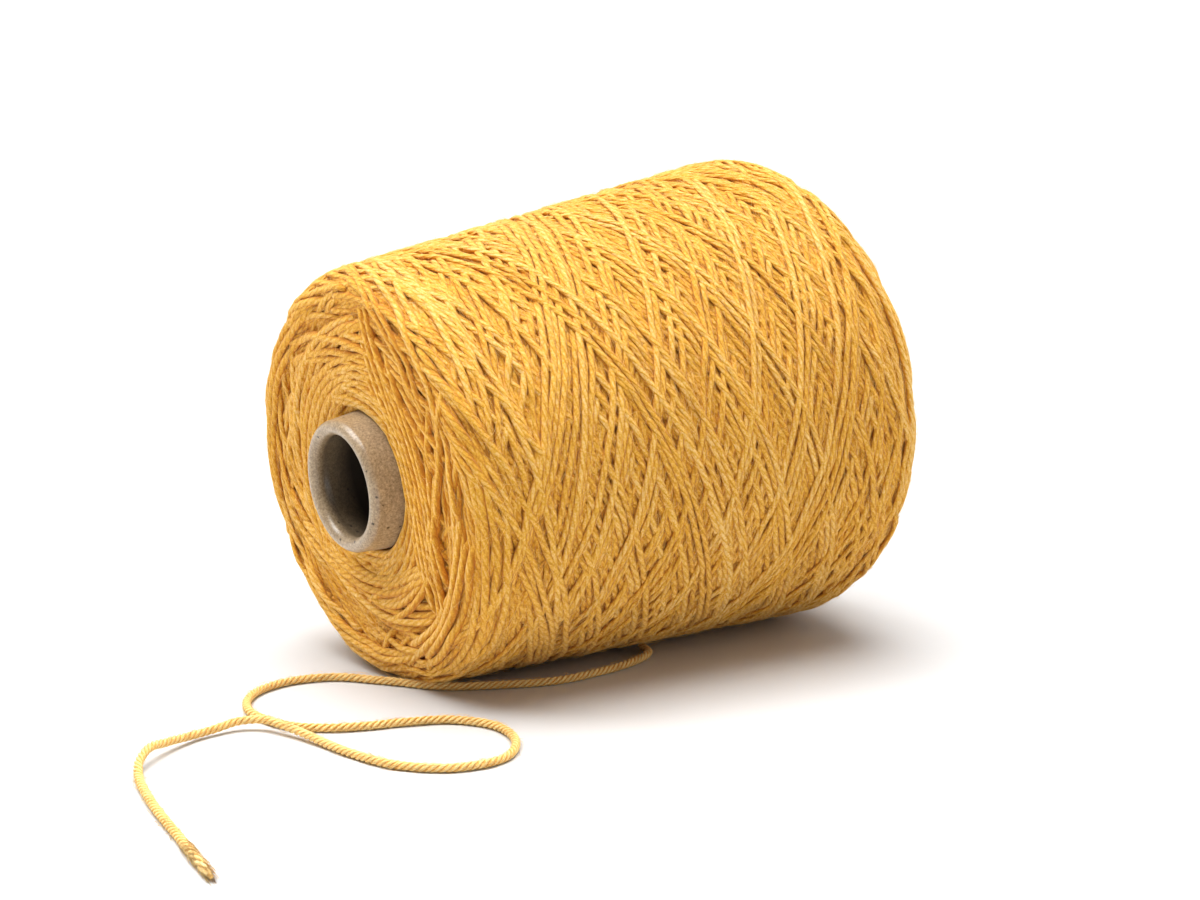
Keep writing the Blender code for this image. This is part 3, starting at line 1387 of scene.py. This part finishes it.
    def _add(self, mesh: TubeMesh, strand: Laid, part: slice) -> None:
        """Adds one stretch of a strand to a mesh, its ends tucked into the yarn below.

        Args:
            mesh: the mesh.
            strand: the strand.
            part: the stretch.
        """
        support = self.support
        run, angle, thickness = strand.run[part], strand.angle[part], strand.half_height
        top = support.settled(strand.height[part] + thickness, support.cells(run, angle))
        height = smoothed(top, support.cell, self.height_blur) - strand.dive[part]
        height = height + self.top_of_yarn - thickness
        place = np.arange(len(run)) * support.cell
        tuck_length, tuck_depth = self.tuck
        tuck = np.clip(1 - np.minimum(place, place[-1] - place) / tuck_length, 0, 1)
        height = height - tuck_depth * tuck ** 2
        count = max(3, int(len(run) * support.cell / self.ring_step) + 1)
        pick = np.unique(np.linspace(0, len(run) - 1, count).astype(int))
        points, up = support.surface.place(run[pick], angle[pick], height[pick])
        points[:, 2] = soft_floor(points[:, 2] - thickness) + thickness
        # painted shade: the random tone is darkened the deeper the stretch lies
        tone = strand.tone + self.shade_by_depth * np.clip(height[pick] + thickness, *self.shade_depths)
        spread = self.spread if thickness == self.half_height else 1.0
        half_width = np.full(len(pick), strand.half_width * spread)
        half_height = np.full(len(pick), thickness)
        mesh.add(points, up, half_width, half_height, tone, strand.run[0] * self.twist_by_start)

    def _body(self, finish: bpy.types.Material) -> bpy.types.Object:
        """Makes the closed body of hidden turns, which has the relief of the strands over it.

        Args:
            finish: its material.

        Returns:
            The object.
        """
        support, surface = self.support, self.support.surface
        rows, columns = int(TURN * MEAN_RADIUS / self.body_step), int(surface.length / self.body_step)
        angle = TURN * np.arange(rows) / rows
        run = np.linspace(0, surface.length, columns)
        angles, runs = (values.ravel() for values in np.meshgrid(angle, run, indexing="ij"))
        cells = support.cells(runs, angles)
        on_face, on_flank = self.body_below
        from_end = np.minimum(runs, surface.length - runs)
        below = on_face + (on_flank - on_face) * smooth_step(*FACE_EDGE, from_end)
        height = support.settled(support.height[cells], cells) + self.top_of_yarn - below
        points, _ = surface.place(runs, angles, height)
        points[:, 2] = soft_floor(points[:, 2])
        mesh = bpy.data.meshes.new("wound_body")
        mesh.from_pydata(points.tolist(), [], ring_faces(rows, columns).tolist())
        row, column = np.arange(rows)[:, None, None], np.arange(columns)[None, :, None]
        round_it = (row + np.array([0, 1, 1, 0]) + 0 * column) / rows
        along = (column + np.array([0, 0, 1, 1]) + 0 * row) / columns
        turns, strands = round(TURN * MEAN_RADIUS / self.lay_length), surface.length / self.body_strand
        add_map(mesh, TWIST_MAP, np.stack([round_it * turns, along * strands], -1))
        add_map(mesh, BAKE_MAP, np.stack([along, round_it], -1))
        mesh.shade_smooth()
        mesh.materials.append(finish)
        return linked(mesh.name, mesh)


@dataclass
class Fuzz:
    """Loose fibres that stand off the wound strands, each with both its ends or one of them rooted.

    both_rooted is the share with both, and bends is how much a fibre curls across and along the strands.
    """

    fibres: int = 4200
    half_thickness: float = 0.000032
    length: tuple = (0.002, 0.007)
    rise: tuple = (0.0001, 0.0007)
    rooted: float = 0.0004
    both_rooted: float = 0.5
    arch: float = 0.7
    crossing: float = 0.5
    curl: float = 0.0006
    bends: tuple = (5, 4)
    margin: float = 0.001
    rings: int = 5
    sides: int = 3
    girth: float = 0.0003
    seed: int = 5

    def build(self, package: Package, name: str, finish: bpy.types.Material) -> bpy.types.Object:
        """Makes one mesh of fibres, spread over the whole package.

        Args:
            package: the package.
            name: the mesh's name.
            finish: the fibres' material.

        Returns:
            The object.
        """
        draw = np.random.default_rng(self.seed)
        support, surface = package.support, package.support.surface
        run = draw.uniform(2 * self.margin, surface.length - 2 * self.margin, self.fibres * 2)
        run = run[draw.random(len(run)) < surface.radius_at(run) / surface.radius.max()][:self.fibres]
        count = len(run)
        share = np.linspace(0, 1, self.rings)
        length = draw.uniform(*self.length, count)[:, None]
        slant = draw.normal(0, self.crossing, count)[:, None]
        bow = draw.normal(0, self.curl, (2, count))[:, :, None]
        across, along = (bow[k] * np.sin(share * bend) for k, bend in enumerate(self.bends))
        runs = run[:, None] + np.sin(slant) * length * share + across
        runs = np.clip(runs, self.margin, surface.length - self.margin)
        ahead = np.cos(slant) * length * share + along
        angles = draw.uniform(0, TURN, count)[:, None] + ahead / surface.radius_at(run)[:, None]
        cells = support.cells(runs, angles)
        top = support.settled(support.height[cells], cells).max(1)[:, None] + package.top_of_yarn
        rise = draw.uniform(*self.rise, count)[:, None] * draw.random(count)[:, None] ** 0.5
        both = draw.random(count)[:, None] < self.both_rooted
        lifted = np.where(both, np.sin(share * math.pi), np.sin(share * 2)) ** self.arch
        heights = top - self.rooted + (rise + self.rooted) * lifted
        points, up = surface.place(runs.ravel(), angles.ravel(), heights.ravel())
        points[:, 2] = np.maximum(points[:, 2], self.half_thickness)
        points, up = (values.reshape(count, self.rings, 3) for values in (points, up))
        mesh = TubeMesh(name, self.sides, package.lay_length, self.girth)
        thick = np.full(self.rings, self.half_thickness)
        for fibre in range(count):
            # tone 1.0 gives each fibre the palest colour of its ramp, part of its painted sheen
            mesh.add(points[fibre], up[fibre], thick, thick, 1.0)
        return mesh.make(finish)


@dataclass
class PaperCore:
    """The tapered paper tube with its rolled mouth. Its finish reads where it is burnished and how much
    painted shade its bore gets.
    """

    form: ConeForm
    sides: int = 144
    lip_steps: int = 18
    roll_steps: int = 10
    bore_steps: int = 24
    outer_steps: int = 29
    burnished: tuple = (0.003, 0.009)
    # painted shade in the bore: where it is full, and where and how far it eases off towards the big end
    bore_shade_from: float = 0.012
    bore_shade_lift: tuple = (0.045, 0.15)
    bore_shade_lift_share: float = 0.85
    crease: float = math.radians(40)

    def _section(self) -> tuple[np.ndarray, np.ndarray, np.ndarray]:
        """Works out the closed section, from the big end through the bore to the nose and back outside.

        Returns:
            The points as (along, radius), and how burnished and how far inside each one is.
        """
        form = self.form
        middle = (form.core_radius(form.lip_depth) + form.mouth_radius) / 2
        half = (form.core_radius(form.lip_depth) - form.mouth_radius) / 2
        roll_end = form.lip_depth + form.roll_depth
        bore = form.core_radius(roll_end) - form.core_wall
        inner = np.linspace(form.core_length, roll_end, self.bore_steps, endpoint=False)
        points = [(along, form.core_radius(along) - form.core_wall) for along in inner]
        for share in np.linspace(1, 0, self.roll_steps, endpoint=False):
            radius = form.mouth_radius + (bore - form.mouth_radius) * smooth_step(0, 1, share)
            points.append((form.lip_depth + form.roll_depth * share, float(radius)))
        for turn in np.linspace(0, math.pi, self.lip_steps + 1):
            points.append((form.lip_depth * (1 - math.sin(turn)), middle - half * math.cos(turn)))
        outer = np.linspace(form.lip_depth, form.core_length, self.outer_steps + 1)[1:]
        points += [(along, form.core_radius(along)) for along in outer]
        points = np.array(points)
        along = points[:, 0]
        bored = np.arange(len(points)) < self.bore_steps + self.roll_steps
        # painted shade: darker deeper into the bore, eased off towards its open big end
        bore_shade = bored * smooth_step(form.lip_depth, self.bore_shade_from, along)
        bore_shade = bore_shade * (1 - self.bore_shade_lift_share * smooth_step(*self.bore_shade_lift, along))
        return points, 1 - smooth_step(*self.burnished, along), bore_shade

    def build(self, finish: bpy.types.Material) -> bpy.types.Object:
        """Makes the core's mesh.

        Args:
            finish: its material.

        Returns:
            The object.
        """
        section, burnish, bore_shade = self._section()
        angle = TURN * np.arange(self.sides) / self.sides
        along = np.broadcast_to(section[:, 0], (self.sides, len(section)))
        radius = section[:, 1][None] * np.ones((self.sides, 1))
        points = self.form.place(along, radius * np.sin(angle)[:, None], radius * np.cos(angle)[:, None])
        faces = ring_faces(self.sides, len(section))[:, [0, 3, 2, 1]]
        mesh = bpy.data.meshes.new("paper_core")
        mesh.from_pydata(points.reshape(-1, 3).tolist(), [], faces.tolist())
        add_values(mesh, "burnish", np.tile(burnish, self.sides))
        add_values(mesh, "bore_shade", np.tile(bore_shade, self.sides))
        mesh.shade_smooth()
        mesh.set_sharp_from_angle(angle=self.crease)
        mesh.materials.append(finish)
        return linked(mesh.name, mesh)


LYING = 0.0012          # height of the loose end's middle where it lies on the table

# the route of the loose end and of its solid: out from under the package, back in a loop, over itself and
# on to its bare end
TAIL_ROUTE = (
    (0.0016, -0.0197, LYING),
    (-0.0004, -0.0257, LYING),
    (-0.0100, -0.0311, LYING),
    (-0.0235, -0.0336, LYING),
    (-0.0380, -0.0335, LYING),
    (-0.0526, -0.0277, LYING),
    (-0.0662, -0.0190, LYING),
    (-0.0757, -0.0058, LYING),
    (-0.0862, 0.0063, LYING),
    (-0.0967, 0.0093, LYING),
    (-0.1072, 0.0067, LYING),
    (-0.1148, -0.0005, LYING),
    (-0.1182, -0.0090, LYING),
    (-0.1180, -0.0175, LYING),
    (-0.1155, -0.0256, LYING),
    (-0.1095, -0.0322, LYING),
    (-0.1015, -0.0366, LYING),
    (-0.0912, -0.0400, LYING),
    (-0.0800, -0.0455, LYING),
    (-0.0737, -0.0560, LYING),
    (-0.0765, -0.0700, LYING),
    (-0.0862, -0.0788, LYING),
    (-0.0985, -0.0780, LYING),
    (-0.1090, -0.0685, LYING),
    (-0.1140, -0.0530, LYING),
    (-0.1157, -0.0415, 0.0015),
    (-0.1170, -0.0345, 0.0020),
    (-0.1188, -0.0282, 0.0026),
    (-0.1211, -0.0222, 0.0030),
    (-0.1260, -0.0184, 0.0026),
    (-0.1329, -0.0182, 0.0018),
    (-0.1400, -0.0196, 0.0018),
    (-0.1480, -0.0232, 0.0027),
    (-0.1555, -0.0282, 0.0037),
    (-0.1599, -0.0327, 0.0024),
    (-0.1626, -0.0385, LYING),
    (-0.1674, -0.0552, LYING),
    (-0.1724, -0.0813, LYING),
    (-0.1770, -0.1062, LYING),
)


@dataclass
class LooseEnd:
    """The strand that trails on the table, with each of its plies modelled.

    Over slack from its bare end it loses its twist by untwisted, and its plies swell by swelling and come
    closer by closing. Over frayed they come together by tip_closing and thin out by tip_thinning. tuft is
    how many fibres stand off it there, in the rings that tuft_rings gives, counted from the end, and strays
    is how many stand off the rest.
    """

    diameter: float = 0.0023
    plies: int = 4
    sides: int = 7
    girth: float = 0.0034
    lay_length: float = 0.0072
    curve_points: int = 40
    ring_step: float = 0.0006
    slack: float = 0.024
    untwisted: float = 0.85
    swelling: float = 0.3
    closing: float = 0.2
    fatness: float = 1.03
    frayed: float = 0.006
    tip_closing: float = 0.7
    tip_thinning: float = 0.6
    tone: float = 0.5
    tone_by_ply: float = 0.1
    tone_when_slack: float = 1.2
    strays: int = 1100
    stray_reach: tuple = (1.0, 1.5)
    stray_ahead: float = 0.003
    stray_root: float = 0.7
    tuft: int = 600
    tuft_rings: tuple = (8, 42)
    tuft_reach: tuple = (0.2, 1.35)
    tuft_ahead: tuple = (0.003, 0.0065)
    tuft_root: float = 0.8
    fibre_curl: tuple = (1.4, 2.8)
    fibre_stray: float = 0.0006
    fibre_points: int = 6
    fibre_sides: int = 3
    fibre_girth: float = 0.0003
    fibre_thickness: float = 0.000036
    fibre_floor: float = 0.0001
    seed: int = 3

    def centreline(self) -> np.ndarray:
        """Draws a smooth curve through the route's own points.

        Returns:
            Evenly spaced points along it.
        """
        points = np.array(TAIL_ROUTE)
        weights = np.linalg.norm(np.diff(points, axis=0), axis=1)[:, None]
        slopes = np.diff(points, axis=0) / weights
        inner = (slopes[:-1] * weights[1:] + slopes[1:] * weights[:-1]) / (weights[:-1] + weights[1:])
        tangents = np.vstack([slopes[:1], inner, slopes[-1:]])
        s = np.linspace(0, 1, self.curve_points, endpoint=False)[None, :, None]
        start, end = points[:-1, None], points[1:, None]
        dense = (
            start * (1 + 2 * s) * (1 - s) ** 2
            + end * s * s * (3 - 2 * s)
            + tangents[:-1, None] * weights[:, None] * s * (1 - s) ** 2
            - tangents[1:, None] * weights[:, None] * s * s * (1 - s)
        )
        dense = np.vstack([dense.reshape(-1, 3), points[-1:]])
        dense[:, 2] = np.maximum(dense[:, 2], LYING)
        run = run_along(dense)
        even = np.linspace(0, run[-1], int(run[-1] / self.ring_step) + 1)
        return np.stack([np.interp(even, run, values) for values in dense.T], -1)

    def build(self, finish: bpy.types.Material) -> list[bpy.types.Object]:
        """Args:
            finish: the material of both.

        Returns:
            The strand and its fibres.
        """
        draw = np.random.default_rng(self.seed)
        centres = self.centreline()
        run = run_along(centres)
        loosened = smooth_step(run[-1] - self.slack, run[-1], run)
        turns = np.r_[0, np.cumsum(np.diff(run) / self.lay_length * (1 - self.untwisted * loosened[1:]))]
        ply = self.diameter / 2 / (1 + 1 / math.sin(math.pi / self.plies))
        tip = smooth_step(run[-1] - self.frayed, run[-1], run)
        orbit = (self.diameter / 2 - ply) * (1 - self.closing * loosened) * (1 - self.tip_closing * tip)
        size = ply * (self.fatness + self.swelling * loosened) * (1 - self.tip_thinning * tip)
        ahead = unit(np.gradient(centres, axis=0))
        side = unit(np.cross(ahead, np.array([0.0, 0.0, 1.0])))
        rise = np.cross(side, ahead)
        mesh = TubeMesh("loose_end", self.sides, self.lay_length, self.girth)
        for number in range(self.plies):
            turn = (TURN * (number / self.plies + turns))[:, None]
            out = side * np.cos(turn) + rise * np.sin(turn)
            kept = run <= run[-1] - draw.uniform(0, self.frayed / 3)
            middle = centres + out * orbit[:, None]
            middle[:, 2] = np.maximum(middle[:, 2], size)
            tone = self.tone + self.tone_by_ply * number + self.tone_when_slack * loosened
            mesh.add(middle[kept], out[kept], size[kept], size[kept], tone[kept])
        strand = mesh.make(finish)
        fibres = self._fluff(draw, centres, side, rise, ahead, finish)
        LOG.info("loose end: %.0f mm long", run[-1] * 1000)
        return [strand, fibres]

    def _fluff(self, draw: np.random.Generator, centres: np.ndarray, side: np.ndarray, rise: np.ndarray,
               ahead: np.ndarray, finish: bpy.types.Material) -> bpy.types.Object:
        """Makes the fibres that stand off the strand and the tuft at its bare end.

        Args:
            draw: the source of random numbers.
            centres: the strand's centreline.
            side: the way to its side, at each point.
            rise: the way up from it.
            ahead: the way along it.
            finish: the fibres' material.

        Returns:
            The object.
        """
        mesh = TubeMesh("loose_end_fibres", self.fibre_sides, self.lay_length, self.fibre_girth)
        radius, share = self.diameter / 2, np.linspace(0, 1, self.fibre_points)[:, None]
        thick = np.full(self.fibre_points, self.fibre_thickness)
        nearest, farthest = self.tuft_rings
        last = len(centres) - nearest
        tufted = last - draw.integers(0, farthest - nearest, self.tuft)
        for number, at in enumerate(np.r_[draw.integers(0, last, self.strays), tufted]):
            turn = draw.uniform(0, TURN)
            out = side[at] * math.cos(turn) + rise[at] * math.sin(turn)
            across = side[at] * -math.sin(turn) + rise[at] * math.cos(turn)
            if number < self.strays:
                reach, forward = draw.uniform(*self.stray_reach), draw.normal(0, self.stray_ahead)
                root = self.stray_root
            else:
                reach, forward = draw.uniform(*self.tuft_reach), draw.uniform(*self.tuft_ahead)
                root = self.tuft_root
            spread = radius * (root + (reach - root) * np.sin(share * draw.uniform(*self.fibre_curl)))
            line = centres[at] + out * spread + ahead[at] * forward * share
            line = line + across * draw.normal(0, self.fibre_stray) * share
            line[:, 2] = np.maximum(line[:, 2], self.fibre_floor)
            # painted light: tone 1.0 gives each fibre the palest colour of the ramp
            mesh.add(line, np.broadcast_to(out, line.shape), thick, thick, 1.0)
        return mesh.make(finish)


# ---------------------------------------------------------------------------------------------------------
# Stage


@dataclass(frozen=True)
class SoftBox:
    """A bright patch of the surroundings, with a soft edge."""

    way: tuple
    strength: float
    reach: float
    core: float = 0.4

    def glow(self, nodes: Nodes, way: Signal) -> Signal:
        """How much light comes from each direction.

        Args:
            nodes: the world's nodes.
            way: the direction.

        Returns:
            The strength.
        """
        settings, values = {"operation": "DOT_PRODUCT"}, {0: way, 1: tuple(Vector(self.way).normalized())}
        facing = nodes.node("ShaderNodeVectorMath", settings, values, "Value")
        edges = [math.cos(math.radians(self.reach * part)) for part in (1.0, self.core)]
        return facing.ramp(*edges) * self.strength


@dataclass
class Studio:
    """Pale floor, soft light all round, and the camera.

    eye is the camera's place and ahead the way it looks; seen is the nearest and the farthest that it sees.
    """

    eye: tuple = (-0.35704, -0.48332, 0.16645)
    ahead: tuple = (0.58586, 0.78996, -0.18093)
    lens: float = 63.0
    sensor: float = 36.0
    seen: tuple = (0.01, 50.0)
    floor_half: float = 6.0
    ambient: float = 0.06
    horizon: float = 1.0
    horizon_edge: tuple = (0.05, 0.14)
    window_place: tuple = (-0.55, 0.25, 0.75)
    window_aim: tuple = (0.0, 0.0, 0.05)
    window_side: float = 0.35
    window_watts: float = 2.9
    boxes: tuple = (
        SoftBox((0.0, 0.1, 1.0), 8.1, 36),
        SoftBox((-0.6, -0.75, 0.35), 0.10, 60),
        SoftBox((0.596, 0.803, 0.0), 0.45, 38, 0.7),
        SoftBox((0.80, -0.56, 0.65), 0.75, 45),
        SoftBox((-0.60, 0.75, 0.30), 0.45, 45),
    )

    @staticmethod
    def _aimed(data: bpy.types.ID, place: tuple, ahead: Vector) -> bpy.types.Object:
        """Puts a camera or a light in its place.

        Args:
            data: the camera or the light.
            place: where it is.
            ahead: the way it looks.

        Returns:
            The object.
        """
        made = linked(data.name, data)
        made.location = place
        made.rotation_euler = ahead.to_track_quat("-Z", "Y").to_euler()
        return made

    def add_camera(self) -> None:
        """Adds the camera, where the picture was taken from."""
        camera = bpy.data.cameras.new("camera")
        camera.lens, camera.sensor_width = self.lens, self.sensor
        camera.clip_start, camera.clip_end = self.seen
        bpy.context.scene.camera = self._aimed(camera, self.eye, Vector(self.ahead))

    def add_floor(self) -> None:
        """Adds the floor that the cone lies on."""
        half = self.floor_half
        mesh = bpy.data.meshes.new("floor")
        corners = [(-half, -half, 0), (half, -half, 0), (half, half, 0), (-half, half, 0)]
        mesh.from_pydata(corners, [], [(0, 1, 2, 3)])
        mesh.materials.append(TableFinish().make())
        linked("floor", mesh)

    def add_window(self) -> None:
        """Adds a square soft light."""
        lamp = bpy.data.lights.new("window", "AREA")
        lamp.shape, lamp.size, lamp.energy = "SQUARE", self.window_side, self.window_watts
        self._aimed(lamp, self.window_place, Vector(self.window_aim) - Vector(self.window_place))

    def add_world(self) -> None:
        """Adds surroundings that light the cone softly and are white behind it."""
        world = bpy.data.worlds.new("surroundings")
        world.use_nodes = True
        nodes = Nodes(world.node_tree)
        way = nodes.node("ShaderNodeTexCoord", output="Generated")
        _, _, rise = nodes.parts(way)
        band = (1 - abs(rise).ramp(*self.horizon_edge)) * self.horizon
        strength = sum((box.glow(nodes, way) for box in self.boxes), band + self.ambient)
        background = world.node_tree.nodes["Background"]
        nodes.feed(background.inputs["Color"], (1.0, 1.0, 1.0))
        nodes.feed(background.inputs["Strength"], strength)
        bpy.context.scene.world = world

    def build(self) -> None:
        """Sets up everything but the camera."""
        self.add_floor()
        self.add_window()
        self.add_world()
        bpy.context.scene.view_settings.view_transform = "Standard"


def main() -> None:
    """Builds every piece in order."""
    logging.basicConfig(level=logging.INFO, format="%(message)s")
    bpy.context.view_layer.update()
    form = ConeForm()
    studio = Studio()
    studio.add_camera()
    tail = LooseEnd().build(LIT_LOOSE_WOOL.make())
    for piece in tail:
        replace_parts(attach(piece, "root"), "yarn_tail")
    core = PaperCore(form).build(PaperFinish("pressed_paper").make())
    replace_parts(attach(core, "root"), "core")
    package = Package(form)
    package.wind()
    yarn = package.build(WOOL.make(), SHADED_WOOL.make())
    fibre = SHEEN_PAINTED_FIBRE.make()
    yarn += [Fuzz(seed=number).build(package, f"fibres_{number}", fibre) for number in (1, 2)]
    for piece in yarn:
        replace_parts(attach(piece, "root"), "wound_yarn")
    for piece in (*tail, core, *yarn):
        mesh = piece.data
        LOG.info("%s: %d triangles", piece.name, len(mesh.loops) - 2 * len(mesh.polygons))
    studio.build()


if __name__ == "__main__":
    main()
